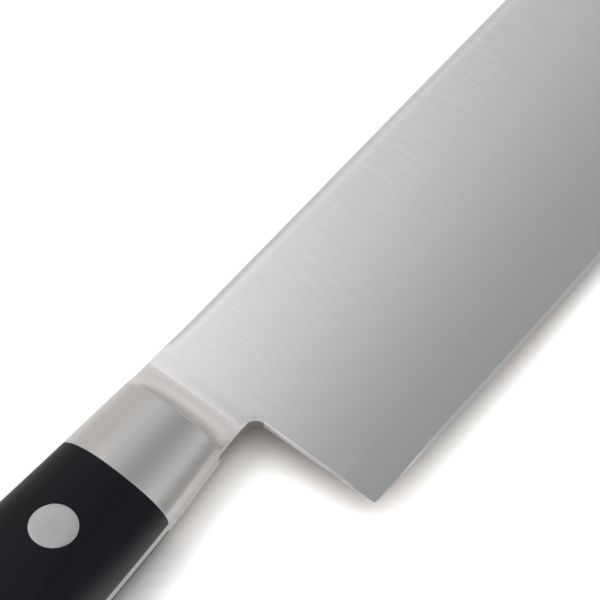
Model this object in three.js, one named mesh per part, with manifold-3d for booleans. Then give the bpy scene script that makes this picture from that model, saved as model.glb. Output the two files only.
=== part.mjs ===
// Nakiri knife: a square-nosed vegetable blade of three-layer steel on a full tang, with two welded
// bolster halves and two resin scales held by three compression rivets.
// Units are millimetres. The knife lies on its left side, with +x to the nose, +y to the spine and
// +z out of the right face. It is drawn with the heel at x = 0, the spine at y = 0 and the middle of
// the steel at z = 0, and the finished group is then stood on z = 0 with its box centred on the origin.

import * as THREE from 'three';
import { mergeVertices } from 'three/addons/utils/BufferGeometryUtils.js';
import Module from 'manifold-3d';

const wasm = await Module();
wasm.setup();

// Blade
const BLADE_LENGTH = 165; // heel to nose
const BLADE_HEIGHT = 50; // spine to edge at the heel
const STOCK_THICKNESS = 2; // three-layer sheet, whole at the heel's spine and in the tang
const CORE_THICKNESS = 0.7; // hard middle layer
const DISTAL_TAPER = 0.2; // thickness that the spine loses from heel to nose
const BEVEL_HEIGHT = 1.1; // sharpened strip along the edge
const BEVEL_THICKNESS = 0.4; // steel at the top of that strip, at the heel
const EDGE_THICKNESS = 0.04; // flat left on the edge itself
const EDGE_RADIUS = 1600; // gentle belly of the edge line
const EDGE_LOW_POINT = 42; // heel to the deepest point of the edge line
const NOSE_SPINE_RADIUS = 24;
const NOSE_EDGE_RADIUS = 3;
const HEEL_RADIUS = 0.6;
const SPINE_ROUND = 1.5; // reach of the rounded corners along the spine
const SPINE_DROP = 0.55; // how far those corners fall below the face

// Lengths of the handle, one after another from the heel to the butt
const NECK_RADIUS = 2.2; // hollow corner between heel and neck
const NECK_LENGTH = 1.2; // bare steel up to the thin front of the bolster
const RAMP_LENGTH = 6.6; // hollow ramp up to the bolster's crisp shoulder
const BOLSTER_LENGTH = 16.6; // shoulder to the seam of bolster and scale
const SWELL_LENGTH = 35.4; // seam to the fullest part of the grip
const WAIST_LENGTH = 30; // swell to the waist
const FLARE_LENGTH = 24; // waist to the deepest part of the pommel
const POMMEL_LENGTH = 9; // pommel to the butt

// Heights of the handle's back above the spine line, and of its belly below that line
const BACK_AT_SEAM = 0.7;
const BACK_AT_SWELL = 1.8;
const BACK_AT_POMMEL = -1.6;
const BACK_AT_BUTT = -3;
const BELLY_AT_NECK = 22.2;
const BELLY_AT_SEAM = 24.5;
const BELLY_AT_SWELL = 26.3;
const BELLY_AT_WAIST = 25.8;
const BELLY_AT_POMMEL = 29.3;
const BELLY_AT_BUTT = 29.6;

// Thickness of the handle and the rounding of its section
const TOE_THICKNESS = 0.15; // edge of the bolster's ramp above the blade
const SHOULDER_THICKNESS = 12.2;
const SEAM_THICKNESS = 13.9;
const GRIP_THICKNESS = 16.4; // flat sides from the swell to the butt
const RAMP_HOLLOW = 2.3; // power of the ramp's hollow curve
const BACK_ROUND = 14; // reach of the long round from the back, on the grip
const BELLY_ROUND = 7; // reach of the short round from the belly, on the grip
const CROWN_REACH = 10.6; // from the back to the bolster's highest line
const CROWN_POWER = 2.2; // fullness of the bolster below that line, where 2 is an ellipse
const FLAT_SIDE = 0.4; // least height of the flat between the two rounds
const BUTT_BACK_RADIUS = 9;
const BUTT_BELLY_RADIUS = 7;
const BUTT_EDGE_RADIUS = 3;

// Compression rivets
const RIVET_NAMES = ['rivet_front', 'rivet_middle', 'rivet_rear'];
const FIRST_RIVET_FROM_SEAM = 15.5;
const LAST_RIVET_FROM_BUTT = 23;
const RIVET_RISE = 0.5; // above the middle of the grip
const RIVET_HEAD_RADIUS = 4.5;
const RIVET_HEAD_THICKNESS = 2.2;
const RIVET_SHANK_RADIUS = 2.5;
const RIVET_PIN_RADIUS = 1.5;
const RIVET_CLEARANCE = 0.05; // round heads, shanks and pins
const RIVET_END_GAP = 0.5; // beyond the ends of pin and sleeve

// Fineness of the faceted surfaces, and how far cutting bodies reach past what they cut
const ROUND_STEPS = 9; // along each round of the handle's section
const BUTT_STEPS = 6;
const GRIP_STEPS = 10;
const TAPER_STEPS = 8;
const BOLSTER_STEPS = 4;
const RAMP_STEPS = 7;
const SPINE_STEPS = 4; // along each rounded corner of the spine
const OUTLINE_STEPS = 10; // along each arc of the blade's outline
const EDGE_STEPS = 24;
const RIVET_SIDES = 36;
const WASTE = 4;

const HALF_STOCK = STOCK_THICKNESS / 2;
const HALF_CORE = CORE_THICKNESS / 2;
const HALF_GRIP = GRIP_THICKNESS / 2;
const TOE_X = -NECK_RADIUS - NECK_LENGTH;
const SHOULDER_X = TOE_X - RAMP_LENGTH;
const SEAM_X = SHOULDER_X - BOLSTER_LENGTH;
const SWELL_X = SEAM_X - SWELL_LENGTH;
const WAIST_X = SWELL_X - WAIST_LENGTH;
const POMMEL_X = WAIST_X - FLARE_LENGTH;
const BUTT_X = POMMEL_X - POMMEL_LENGTH;

// A smooth line through [x, value] stations in rising x, level at the ends that are asked to be level.
function lineThrough(stations, levelStart, levelEnd) {
  const places = stations.map(([x]) => x);
  const values = stations.map(([, value]) => value);
  const spline = new THREE.CubicInterpolant(places, values, 1);
  spline.settings = {
    endingStart: levelStart ? THREE.ZeroSlopeEnding : THREE.ZeroCurvatureEnding,
    endingEnd: levelEnd ? THREE.ZeroSlopeEnding : THREE.ZeroCurvatureEnding,
  };
  return (x) => spline.evaluate(x)[0];
}

const backLine = lineThrough([
  [BUTT_X, BACK_AT_BUTT],
  [POMMEL_X, BACK_AT_POMMEL],
  [SWELL_X, BACK_AT_SWELL],
  [SEAM_X, BACK_AT_SEAM],
  [0, 0],
], false, true);

const bellyLine = lineThrough([
  [BUTT_X, -BELLY_AT_BUTT],
  [POMMEL_X, -BELLY_AT_POMMEL],
  [WAIST_X, -BELLY_AT_WAIST],
  [SWELL_X, -BELLY_AT_SWELL],
  [SEAM_X, -BELLY_AT_SEAM],
  [-NECK_RADIUS, -BELLY_AT_NECK],
], false, true);

const sideLine = lineThrough([
  [SWELL_X, HALF_GRIP],
  [SEAM_X, SEAM_THICKNESS / 2],
  [SHOULDER_X, SHOULDER_THICKNESS / 2],
], true, false);

// How far a round of the given radius draws the handle in, at a place near the butt.
function buttRound(x, radius) {
  const inside = Math.max(radius - (x - BUTT_X), 0);
  return radius - Math.sqrt(radius ** 2 - inside ** 2);
}

const backAt = (x) => backLine(x) - buttRound(x, BUTT_BACK_RADIUS);
const bellyAt = (x) => bellyLine(x) + buttRound(x, BUTT_BELLY_RADIUS);

// Half the thickness of the handle: flat grip, taper to the shoulder, then the hollow ramp.
function sideAt(x) {
  if (x <= SHOULDER_X) {
    return sideLine(x) - buttRound(x, BUTT_EDGE_RADIUS);
  }
  const toe = HALF_STOCK + TOE_THICKNESS;
  return toe + (SHOULDER_THICKNESS / 2 - toe) * ((TOE_X - x) / RAMP_LENGTH) ** RAMP_HOLLOW;
}

// The edge line in plan, and the flat ground face of the blade above its middle plane.
const EDGE_SAG = EDGE_LOW_POINT ** 2 / (2 * EDGE_RADIUS);
const GRIND_SLOPE = (STOCK_THICKNESS - BEVEL_THICKNESS) / 2 / (BLADE_HEIGHT - BEVEL_HEIGHT);
const TAPER_SLOPE = DISTAL_TAPER / 2 / BLADE_LENGTH;
const edgeAt = (x) => -BLADE_HEIGHT - EDGE_SAG + (x - EDGE_LOW_POINT) ** 2 / (2 * EDGE_RADIUS);
const faceAt = (x, y) => HALF_STOCK + GRIND_SLOPE * y - TAPER_SLOPE * x;

// Even places from one end up to the other, which is left out, and angles from 0 to a right angle.
function evenSteps(from, to, count) {
  return Array.from({ length: count }, (_, i) => from + ((to - from) * i) / count);
}
function quarterTurns(count) {
  return Array.from({ length: count + 1 }, (_, i) => (Math.PI / 2) * (i / count));
}

// Places of the handle's sections, close together round the butt and down the ramp.
const HANDLE_STATIONS = [
  ...quarterTurns(BUTT_STEPS).map((turn) => BUTT_X + BUTT_BACK_RADIUS * (1 - Math.cos(turn))).slice(0, -1),
  ...evenSteps(BUTT_X + BUTT_BACK_RADIUS, SWELL_X, GRIP_STEPS),
  ...evenSteps(SWELL_X, SEAM_X, TAPER_STEPS),
  ...evenSteps(SEAM_X, SHOULDER_X, BOLSTER_STEPS),
  ...quarterTurns(RAMP_STEPS).map((turn) => SHOULDER_X + RAMP_LENGTH * (1 - Math.cos(turn))),
];
const EDGE_STATIONS = evenSteps(0, BLADE_LENGTH, EDGE_STEPS);

// Mirrors a half section of [y, z] points to the left side and stands it at x.
function wholeSection(x, right) {
  const left = right.map(([y, z]) => [y, -z]).reverse();
  return [...right, ...left].map(([y, z]) => new THREE.Vector3(x, y, z));
}

// One section of the whole handle. The grip has a long round from the back, a flat and a short round from
// the belly. On the bolster the two rounds reach each other, and between seam and swell they change over.
function handleSection(x) {
  const back = backAt(x);
  const belly = bellyAt(x);
  const rise = sideAt(x) - HALF_STOCK;
  const free = back - belly - FLAT_SIDE;
  const fit = Math.min(1, free / (BACK_ROUND + BELLY_ROUND));
  const grip = THREE.MathUtils.smoothstep(-x, -SEAM_X, -SWELL_X);
  const backReach = THREE.MathUtils.lerp(CROWN_REACH, BACK_ROUND * fit, grip);
  const bellyReach = THREE.MathUtils.lerp(free - CROWN_REACH, BELLY_ROUND * fit, grip);
  const bend = 2 / THREE.MathUtils.lerp(CROWN_POWER, 2, grip);
  const turns = quarterTurns(ROUND_STEPS);
  const up = turns.map((turn) => [
    back - backReach * (1 - Math.cos(turn)),
    HALF_STOCK + rise * Math.sin(turn),
  ]);
  const down = turns.map((turn) => [
    belly + bellyReach * (1 - Math.cos(turn) ** bend),
    HALF_STOCK + rise * Math.sin(turn) ** bend,
  ]);
  return wholeSection(x, [...up, ...down.reverse()]);
}

// One section of the ground blade, from well above the spine down to the edge. Behind the toe of the
// bolster the stock is left whole, and the grind runs in between there and the heel.
function grindSection(x) {
  const along = Math.max(x, 0);
  const ground = THREE.MathUtils.clamp(1 - x / TOE_X, 0, 1);
  const shoulder = edgeAt(along) + BEVEL_HEIGHT;
  const rounded = quarterTurns(SPINE_STEPS).map((turn) => {
    const y = -SPINE_ROUND * (1 - Math.cos(turn));
    return [y, faceAt(along, y) - SPINE_DROP * (1 - Math.sin(turn))];
  });
  const profile = [
    [BLADE_HEIGHT, rounded[0][1]],
    ...rounded,
    [shoulder, faceAt(along, shoulder)],
    [edgeAt(along), EDGE_THICKNESS / 2],
  ];
  return wholeSection(x, profile.map(([y, z]) => [y, THREE.MathUtils.lerp(HALF_STOCK, z, ground)]));
}

// A closed skin over sections that follow each other in +x and have equally many points.
function loft(sections) {
  const points = sections.flat();
  const around = sections[0].length;
  const last = points.length - around;
  const faces = [];
  for (let start = 0; start < last; start += around) {
    for (let j = 0; j < around; j += 1) {
      const a = start + j;
      const b = start + ((j + 1) % around);
      faces.push([a, b, a + around], [b, b + around, a + around]);
    }
  }
  const flat = (section) => section.map(({ y, z }) => new THREE.Vector2(y, z));
  const cap = (section) => THREE.ShapeUtils.triangulateShape(flat(section), []);
  cap(sections[0]).forEach(([a, b, c]) => faces.push([a, c, b]));
  cap(sections.at(-1)).forEach(([a, b, c]) => faces.push([last + a, last + b, last + c]));
  const geometry = new THREE.BufferGeometry().setFromPoints(points);
  geometry.setIndex(faces.flat());
  return geometry;
}

// A body that can be joined and cut, from a closed geometry.
function bodyOf(geometry) {
  const bare = geometry.clone();
  bare.deleteAttribute('normal');
  bare.deleteAttribute('uv');
  const { attributes, index } = mergeVertices(bare);
  const corners = [];
  for (let i = 0; i < index.count; i += 3) {
    const triangle = [index.getX(i), index.getX(i + 1), index.getX(i + 2)];
    if (new Set(triangle).size === triangle.length) {
      corners.push(...triangle);
    }
  }
  return new wasm.Manifold(new wasm.Mesh({
    numProp: 3,
    vertProperties: new Float32Array(attributes.position.array),
    triVerts: new Uint32Array(corners),
  }));
}

function geometryOf(body) {
  const { vertProperties, triVerts } = body.getMesh();
  const geometry = new THREE.BufferGeometry();
  geometry.setAttribute('position', new THREE.BufferAttribute(vertProperties, 3));
  geometry.setIndex(new THREE.BufferAttribute(triVerts, 1));
  geometry.computeVertexNormals();
  return geometry;
}

// A block between two corners, for parting bodies along its faces.
function block(low, high) {
  const size = high.map((value, i) => value - low[i]);
  const middle = high.map((value, i) => (value + low[i]) / 2);
  return bodyOf(new THREE.BoxGeometry(...size).translate(...middle));
}

// A body turned about a rivet's axis, from [radius, z] points that start and end on the axis.
function turned(rivet, profile) {
  const outline = profile.map(([radius, z]) => new THREE.Vector2(radius, z));
  const lathe = new THREE.LatheGeometry(outline, RIVET_SIDES);
  return bodyOf(lathe.rotateX(Math.PI / 2).translate(rivet.x, rivet.y, 0));
}

// The sheared outline of blade and tang. It runs past the edge, where the grind takes the rest away.
function plateOutline() {
  const noseX = BLADE_LENGTH - NOSE_EDGE_RADIUS;
  const noseY = edgeAt(noseX) + NOSE_EDGE_RADIUS;
  const spineX = BLADE_LENGTH - NOSE_SPINE_RADIUS;
  const heelY = edgeAt(HEEL_RADIUS) + HEEL_RADIUS;
  const below = edgeAt(EDGE_LOW_POINT) - WASTE;
  const right = Math.PI / 2;
  const outline = new THREE.Shape();
  outline.moveTo(BUTT_X, backAt(BUTT_X));
  HANDLE_STATIONS.slice(1).forEach((x) => outline.lineTo(x, backAt(x)));
  outline.lineTo(0, 0);
  outline.absarc(spineX, -NOSE_SPINE_RADIUS, NOSE_SPINE_RADIUS, right, 0, true);
  outline.absarc(noseX, noseY, NOSE_EDGE_RADIUS, 0, -right, true);
  outline.lineTo(noseX - WASTE, below);
  outline.lineTo(HEEL_RADIUS + WASTE, below);
  outline.absarc(HEEL_RADIUS, heelY, HEEL_RADIUS, -right, -2 * right, true);
  outline.absarc(-NECK_RADIUS, -BELLY_AT_NECK - NECK_RADIUS, NECK_RADIUS, 0, right, false);
  [...HANDLE_STATIONS].reverse().forEach((x) => outline.lineTo(x, bellyAt(x)));
  return outline;
}

// The whole steel plate: sheared outline, ground on both faces.
function groundPlate() {
  const sheet = new THREE.ExtrudeGeometry(plateOutline(), {
    depth: STOCK_THICKNESS + 2 * WASTE,
    curveSegments: OUTLINE_STEPS,
    bevelEnabled: false,
  });
  sheet.translate(0, 0, -HALF_STOCK - WASTE);
  const stations = [BUTT_X - WASTE, TOE_X, ...EDGE_STATIONS, BLADE_LENGTH + WASTE];
  return bodyOf(sheet).intersect(bodyOf(loft(stations.map(grindSection))));
}

// Where each rivet stands, and the height above the middle at which its heads are seated.
function rivetPlaces() {
  const first = SEAM_X - FIRST_RIVET_FROM_SEAM;
  const last = BUTT_X + LAST_RIVET_FROM_BUTT;
  return RIVET_NAMES.map((name, i) => {
    const x = THREE.MathUtils.lerp(first, last, i / (RIVET_NAMES.length - 1));
    const y = (backAt(x) + bellyAt(x)) / 2 + RIVET_RISE;
    return { name, x, y, seat: sideAt(x) - RIVET_HEAD_THICKNESS };
  });
}

const RIVET_REACH = HALF_GRIP + WASTE; // beyond the handle's sides, before the heads are ground flush

// The stepped hole for one rivet: its shank through the steel, and a head in each scale.
function rivetHole(rivet) {
  const { seat } = rivet;
  const shank = RIVET_SHANK_RADIUS + RIVET_CLEARANCE;
  const head = RIVET_HEAD_RADIUS + RIVET_CLEARANCE;
  return turned(rivet, [
    [0, -RIVET_REACH], [head, -RIVET_REACH], [head, -seat], [shank, -seat],
    [shank, seat], [head, seat], [head, RIVET_REACH], [0, RIVET_REACH],
  ]);
}

// Left half of a rivet: a head and a tubular shank.
function rivetSleeve(rivet) {
  const { seat } = rivet;
  const end = seat - RIVET_END_GAP;
  const bore = RIVET_PIN_RADIUS + RIVET_CLEARANCE;
  return turned(rivet, [
    [0, -RIVET_REACH], [RIVET_HEAD_RADIUS, -RIVET_REACH], [RIVET_HEAD_RADIUS, -seat],
    [RIVET_SHANK_RADIUS, -seat], [RIVET_SHANK_RADIUS, end], [bore, end], [bore, -seat], [0, -seat],
  ]);
}

// Right half of a rivet: a head and a solid pin.
function rivetPin(rivet) {
  const { seat } = rivet;
  const end = RIVET_END_GAP - seat;
  return turned(rivet, [
    [0, end], [RIVET_PIN_RADIUS, end], [RIVET_PIN_RADIUS, seat],
    [RIVET_HEAD_RADIUS, seat], [RIVET_HEAD_RADIUS, RIVET_REACH], [0, RIVET_REACH],
  ]);
}

const CORE_STEEL = { color: 0xb4b5b6, roughness: 0.32, metalness: 1 };
const CLAD_STEEL = { color: 0xb9b8b7, roughness: 0.38, metalness: 1 };
const BOLSTER_STEEL = { color: 0xbdb9b5, roughness: 0.2, metalness: 1 };
const RIVET_STEEL = { color: 0xa9aaae, roughness: 0.4, metalness: 1 };
const BLACK_RESIN = { color: 0x1d1e21, roughness: 0.45, metalness: 0 };

function piece(name, body, finish) {
  const material = new THREE.MeshStandardMaterial({ ...finish, flatShading: true });
  const mesh = new THREE.Mesh(geometryOf(body), material);
  mesh.name = name;
  return mesh;
}

const drilled = (body, holes) => holes.reduce((rest, hole) => rest.subtract(hole), body);

// The steel layers lie face to face, parted by the two planes of the bonded sheet.
function bladePieces(holes) {
  const plate = drilled(groundPlate(), holes);
  const layer = (low, high) => plate.intersect(block(
    [BUTT_X - WASTE, -2 * BLADE_HEIGHT, low],
    [BLADE_LENGTH + WASTE, BLADE_HEIGHT, high],
  ));
  return [
    piece('blade_core', layer(-HALF_CORE, HALF_CORE), CORE_STEEL),
    piece('cladding_right', layer(HALF_CORE, STOCK_THICKNESS), CLAD_STEEL),
    piece('cladding_left', layer(-STOCK_THICKNESS, -HALF_CORE), CLAD_STEEL),
  ];
}

// Bolsters and scales are parted from one handle form, so they meet flush at the seam and the tang.
function sidePieces(handle, holes) {
  const sides = [['right', HALF_STOCK, RIVET_REACH], ['left', -RIVET_REACH, -HALF_STOCK]];
  return sides.flatMap(([side, low, high]) => {
    const part = (back, front) => handle.intersect(block(
      [back, -2 * BLADE_HEIGHT, low],
      [front, BLADE_HEIGHT, high],
    ));
    return [
      piece(`bolster_${side}`, part(SEAM_X, TOE_X + WASTE), BOLSTER_STEEL),
      piece(`scale_${side}`, drilled(part(BUTT_X - WASTE, SEAM_X), holes), BLACK_RESIN),
    ];
  });
}

// The rivets' heads are ground flush with the handle's sides.
function rivetPieces(handle, rivets) {
  return rivets.flatMap((rivet) => [
    piece(`${rivet.name}_sleeve`, rivetSleeve(rivet).intersect(handle), RIVET_STEEL),
    piece(`${rivet.name}_pin`, rivetPin(rivet).intersect(handle), RIVET_STEEL),
  ]);
}

// Puts the origin in the middle of the knife's box in plan, at the level of its resting side.
function restingPlace() {
  const top = Math.max(0, ...HANDLE_STATIONS.map(backAt));
  const bottom = Math.min(...EDGE_STATIONS.map(edgeAt), ...HANDLE_STATIONS.map(bellyAt));
  return new THREE.Vector3(-(BLADE_LENGTH + BUTT_X) / 2, -(top + bottom) / 2, HALF_GRIP);
}

const handleForm = bodyOf(loft(HANDLE_STATIONS.map(handleSection)));
const rivets = rivetPlaces();
const rivetHoles = rivets.map(rivetHole);

const knife = new THREE.Group();
knife.name = 'nakiri_knife';
knife.position.copy(restingPlace());
knife.add(...bladePieces(rivetHoles));
knife.add(...sidePieces(handleForm, rivetHoles));
knife.add(...rivetPieces(handleForm, rivets));

export default knife;
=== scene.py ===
"""Looks of a nakiri knife: steel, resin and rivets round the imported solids, on a pale stage."""

import math

import bmesh
import bpy
import numpy as np
from bpy.props import FloatProperty, FloatVectorProperty, PointerProperty
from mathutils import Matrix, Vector
from mathutils.geometry import delaunay_2d_cdt


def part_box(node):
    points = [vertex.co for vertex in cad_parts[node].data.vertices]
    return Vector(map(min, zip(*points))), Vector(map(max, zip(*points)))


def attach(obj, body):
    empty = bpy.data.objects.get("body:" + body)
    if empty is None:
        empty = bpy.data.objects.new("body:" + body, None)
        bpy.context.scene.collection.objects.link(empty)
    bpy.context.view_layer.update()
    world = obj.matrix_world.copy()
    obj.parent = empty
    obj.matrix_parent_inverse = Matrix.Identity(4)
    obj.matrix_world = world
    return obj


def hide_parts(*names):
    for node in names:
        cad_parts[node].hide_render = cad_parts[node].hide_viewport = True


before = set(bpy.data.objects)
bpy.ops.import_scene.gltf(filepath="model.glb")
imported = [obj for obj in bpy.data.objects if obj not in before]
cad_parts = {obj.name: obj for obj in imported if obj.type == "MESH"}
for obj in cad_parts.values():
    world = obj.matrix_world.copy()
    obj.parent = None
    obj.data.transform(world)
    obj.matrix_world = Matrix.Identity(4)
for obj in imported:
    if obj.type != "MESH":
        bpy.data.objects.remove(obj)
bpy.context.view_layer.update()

bl_info = {
    "name": "Nakiri knife",
    "version": (1, 0, 0),
    "blender": (4, 5, 0),
    "location": "View3D > Sidebar > Nakiri",
    "description": "Builds the looks of a vegetable knife with a clad blade and a riveted handle",
    "category": "Object",
}

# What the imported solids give: the layers of the steel, the bolster's ends and the rivet's head
CORE_LOW, CORE_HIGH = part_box("blade_core")
CLAD_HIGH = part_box("cladding_right")[1]
BOLSTER_LOW, BOLSTER_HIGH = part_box("bolster_right")
SCALE_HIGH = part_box("scale_right")[1]
RIVET_LOW, RIVET_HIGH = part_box("rivet_front_pin")
MIDDLE_Z = (CORE_LOW.z + CORE_HIGH.z) / 2
RIVETS = ("rivet_front", "rivet_middle", "rivet_rear")
HALVES = (("right", 1), ("left", -1))
UV_NAME = "UVMap"

# Lengths in metres that two settings share
RAMP, SWELL = 0.0066, 0.0354

# Distances in metres between points on grip, neck, spine, nose and heel
GRIP_STEP, NECK_STEP, SPINE_STEP, NOSE_STEP, HEEL_STEP = 0.0015, 0.0003, 0.003, 0.001, 0.0005

# Allowances in metres: for points on a line, for points that are one and for equal numbers
ON_LINE, ONE_POINT, EQUAL = 2e-6, 1e-7, 1e-9

# Least height above the edge at which corners are broken, and the run-in of the heel's chamfer
EDGE_MARGIN, CHAMFER_RUN_IN = 0.0014, 0.002

# Upward share of a face's direction below which it is upright, and the steel's finishes in order,
# NECK with painted shade and HEEL with a painted highlight
UPRIGHT = 0.4
LAYER, TANG, BEVEL, NECK, HEEL = range(5)

# Marks on the surfaces: how far they are drawn out along each axis, their fineness and detail
HAIRLINES = (1, 0.055, 1), 5200, 3
BROAD_LINES = (1, 0.12, 1), 900, 2
WHEEL_MARKS = (0.08, 1, 1), 2600, 3
WAVES = (1, 1, 1), 160, 1
GRINDING = (0.06, 1, 1), 4200, 3
CLOUDS = (1, 1, 1), 420, 2
FIBRES = (0.05, 1, 1), 1900, 3
PORES = (0.3, 1, 1), 5200, 2
NOISE_LOW, NOISE_HIGH = 0.3, 0.7

# Depths below the spine at which hairlines are clearest and faint, and from which up the painted
# highlight on the heel's chamfer is brightest
CLEAR_DEPTH, FAINT_DEPTH, BRIGHT_DEPTH = 0.006, 0.03, 0.03

# Soft box: axis, place and softness of each side on a ceiling one unit up, and if it ends there
BOX_SIDES = (
    ("X", -0.245, 0.897, False),
    ("X", 0.489, 0.897, True),
    ("Y", 0.342, 0.17, False),
    ("Y", 0.903, 0.925, True),
)
# Panels: direction and sharpness. Ceiling: the rise at which it begins and is full
LEFT_FILL = (-0.764, -0.41, 0.45), 7.011
FRONT_FILL = (0.292, -0.3, 0.7), 20.0
FRONT_SHADE = (0.788, -1, 0.655), 6.837
CEILING_LOW, CEILING_HIGH = 0.454, 0.918

# Camera in metres from the heel's top, its lens in millimetres, and half the floor's size
CAMERA_PLACE, CAMERA_AIM = (-0.20828, -0.20126, 0.46945), (0.02503, -0.01259, 0)
LENS, SENSOR = 180, 36
FLOOR_HALF = 4.0


def size(name, description, default):
    """A length in metres that a user may change."""
    return FloatProperty(
        name=name, description=description, default=default, unit="LENGTH", precision=5
    )


def share(name, description, default):
    """A plain number from 0 to 1 that a user may change."""
    return FloatProperty(
        name=name, description=description, default=default, subtype="FACTOR", min=0, max=1
    )


def number(name, description, default):
    """A plain number from 0 upwards that a user may change."""
    return FloatProperty(name=name, description=description, default=default, min=0)


def tint(name, description, default):
    """A colour that a user may change."""
    return FloatVectorProperty(
        name=name, description=description, default=default, subtype="COLOR", size=3, min=0, max=1
    )


class BladeSizes(bpy.types.PropertyGroup):
    """Sizes of the blade and its steel."""

    length: size("Length", "Heel to nose", 0.165)
    height: size("Height", "Spine to edge at the heel", 0.05)
    stock: size("Stock", "Thickness of the three-layer sheet", 2 * (CLAD_HIGH.z - MIDDLE_Z))
    core: size("Core", "Thickness of the hard middle layer", CORE_HIGH.z - CORE_LOW.z)
    taper: size("Distal taper", "Thickness that the spine loses from heel to nose", 0.0002)
    swell: size("Convex grind", "Rise of each ground face over a flat one", 0.00016)
    bevel_height: size("Bevel height", "Sharpened strip along the edge", 0.00075)
    bevel_thread: size("Bevel at heel", "Sharpened strip where it begins at the heel", 0.00014)
    bevel_start: size("Bevel start", "Heel to the place where the strip begins to widen", 0.005)
    bevel_full: size("Bevel full", "Heel to the place where the strip has its full height", 0.021)
    bevel_thickness: size("Bevel thickness", "Steel at the top of the strip, at the heel", 0.00028)
    edge_thickness: size("Edge thickness", "Flat left on the edge itself", 0.00004)
    edge_radius: size("Edge radius", "Gentle belly of the edge line", 1.6)
    edge_low: size("Deepest point", "Heel to the deepest point of the edge line", 0.042)
    nose_spine: size("Nose at spine", "Radius of the nose's upper corner", 0.024)
    nose_edge: size("Nose at edge", "Radius of the nose's lower corner", 0.003)
    heel: size("Heel corner", "Radius of the heel's corner", 0.0006)
    chamfer: size("Heel chamfer", "Width of the broken corners down the heel", 0.0004)
    chamfer_drop: size("Heel chamfer drop", "Depth of the broken corners down the heel", 0.00013)
    chamfer_end: size("Heel chamfer end", "Spine to where the chamfer has run out", 0.0452)
    spine_round: size("Spine round", "Reach of the rounded corners along spine and nose", 0.0022)
    spine_run_in: size("Spine run-in", "Heel to where the spine's round is full", 0.01)
    spine_drop: size("Spine drop", "Depth of the rounded corners along spine and nose", 0.0006)


class HandleSizes(bpy.types.PropertyGroup):
    """Lengths from the heel to the butt, heights and thicknesses of the handle."""

    neck_radius: size("Neck corner", "Hollow corner between heel and neck", 0.0022)
    neck: size("Neck", "Bare steel up to the thin front of the bolster", 0.0012)
    ramp: size("Ramp", "Hollow ramp up to the bolster's shoulder", RAMP)
    bolster: size("Bolster", "Shoulder to the seam", BOLSTER_HIGH.x - BOLSTER_LOW.x - RAMP)
    swell: size("Swell", "Seam to the fullest part of the grip", SWELL)
    waist: size("Waist", "Swell to the waist", 0.03)
    flare: size("Flare", "Waist to the deepest part of the pommel", 0.024)
    pommel: size("Pommel", "Pommel to the butt", 0.009)
    back_seam: size("Back at seam", "Height above the spine", 0.0007)
    back_swell: size("Back at swell", "Height above the spine", 0.0018)
    back_pommel: size("Back at pommel", "Height above the spine", -0.0016)
    back_butt: size("Back at butt", "Height above the spine", -0.003)
    belly_neck: size("Belly at neck", "Depth below the spine", 0.0222)
    belly_seam: size("Belly at seam", "Depth below the spine", 0.0245)
    belly_swell: size("Belly at swell", "Depth below the spine", 0.0263)
    belly_waist: size("Belly at waist", "Depth below the spine", 0.0258)
    belly_pommel: size("Belly at pommel", "Depth below the spine", 0.0293)
    belly_butt: size("Belly at butt", "Depth below the spine", 0.0296)
    toe: size("Toe", "Thickness of the ramp's thin front above the blade", 0.00003)
    shoulder_thickness: size("Shoulder thickness", "Across both bolster halves there", 0.0122)
    shoulder_ease: size("Shoulder ease", "Half width of the shoulder's softened line", 0.00022)
    seam_thickness: size("Seam thickness", "Across the handle at the seam", 0.0139)
    grip: size("Grip thickness", "Across the grip's flat sides", 2 * (SCALE_HIGH.z - MIDDLE_Z))
    back_round: size("Back round", "Reach of the long round from the back", 0.014)
    belly_round: size("Belly round", "Reach of the round from the belly on the grip", 0.007)
    crown: size("Bolster crown", "Back to the highest line of the bolster", 0.0106)
    crown_power: number("Crown power", "Fullness below that line, 2 for an ellipse", 2.2)
    flat_side: size("Flat side", "Least height of the flat between the rounds", 0.0004)
    butt_back: size("Butt at back", "Radius of the butt's upper corner", 0.009)
    butt_belly: size("Butt at belly", "Radius of the butt's lower corner", 0.007)
    butt_edge: size("Butt edge", "Radius of the butt's side edges", 0.003)
    seam_ease: size("Seam ease", "Broken corner of bolster and scale at the seam", 0.00006)
    hollow: number("Ramp hollow", "Power of the ramp's hollow curve", 2.3)


class RivetSizes(bpy.types.PropertyGroup):
    """Sizes of the three compression rivets."""

    first: size("First rivet", "Seam to the front rivet", 0.0155)
    last: size("Last rivet", "Rear rivet to the butt", 0.023)
    rise: size("Rise", "Rivets above the middle of the grip", 0.0005)
    head: size("Head radius", "Radius of the heads", (RIVET_HIGH.x - RIVET_LOW.x) / 2)
    depth: size("Head thickness", "Thickness of the heads", 0.0022)
    shank: size("Shank radius", "Radius of the shank", 0.0025)
    gap: size("Clearance", "Gap round heads and shanks", 0.00005)
    rim: size("Rim", "How far a head's rim is worn down", 0.00005)


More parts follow.
